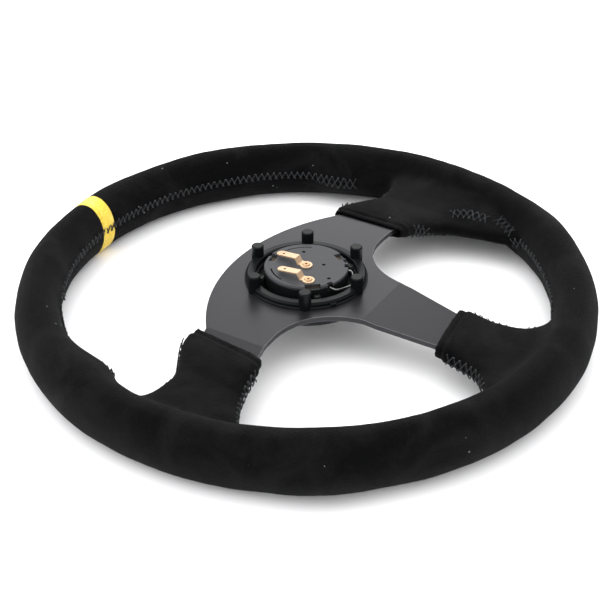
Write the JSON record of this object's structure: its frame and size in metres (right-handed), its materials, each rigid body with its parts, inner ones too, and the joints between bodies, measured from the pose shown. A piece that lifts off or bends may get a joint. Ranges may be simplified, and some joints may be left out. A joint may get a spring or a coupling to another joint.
{
  "type": "competition steering wheel",
  "caption": "Competition steering wheel in black suede with dished spokes and a yellow centre band, shown hub side up with its horn unit and cap ring.",
  "frame": {"origin": "centre of the hub mounting face, on the rear face of the spoke plate", "axes": "+Z along the steering axis towards the column, +Y to 12 o'clock (the centre band), +X to 9 o'clock as the driver sees it"},
  "size_m": [0.35, 0.35, 0.0397],
  "materials": {
    "suede_black": "napped",
    "band_yellow": "matte",
    "thread": "matte",
    "foam": "matte",
    "plate_black": "satin",
    "core_steel": "satin",
    "rivet_aluminium": "satin",
    "plastic_black": "satin",
    "horn_plastic": "matte",
    "button_plastic": "gloss",
    "brass": "satin",
    "wire_steel": "bright"
  },
  "bodies": {
    "wheel": {"spoke_plate": "plate_black", "rim_core": "core_steel", "core_rivets": "rivet_aluminium", "rim_foam": "foam", "spoke_pads": "foam", "cover_top_left": "suede_black", "cover_top_right": "suede_black", "cover_lower_left": "suede_black", "cover_lower_right": "suede_black", "centre_band": "band_yellow", "boot_left": "suede_black", "boot_right": "suede_black", "boot_lower": "suede_black", "seam_thread": "thread", "front_bezel": "plastic_black", "horn_housing": "horn_plastic", "housing_screws": "wire_steel", "horn_base": "horn_plastic", "retaining_wire": "wire_steel", "terminal_feed": "brass", "terminal_earth": "brass", "terminal_rivets": "brass", "fixed_contact": "brass", "spring_cup": "brass", "return_spring": "wire_steel"},
    "cap_ring": {"cap_ring": "plastic_black"},
    "horn_button": {"horn_button": "button_plastic", "contact_disc": "brass"}
  },
  "joints": [
    {"name": "horn_press", "type": "slide", "parent": "wheel", "child": "horn_button", "axis": [0, 0, 1], "range_m": [0, 0.0018], "stiffness_N_per_m": 600, "springref_m": -0.005, "deforming": ["return_spring"]},
    {"name": "cap_ring_lift", "type": "slide", "parent": "wheel", "child": "cap_ring", "axis": [0, 0, 1], "range_m": [0, 0.015]}
  ]
}
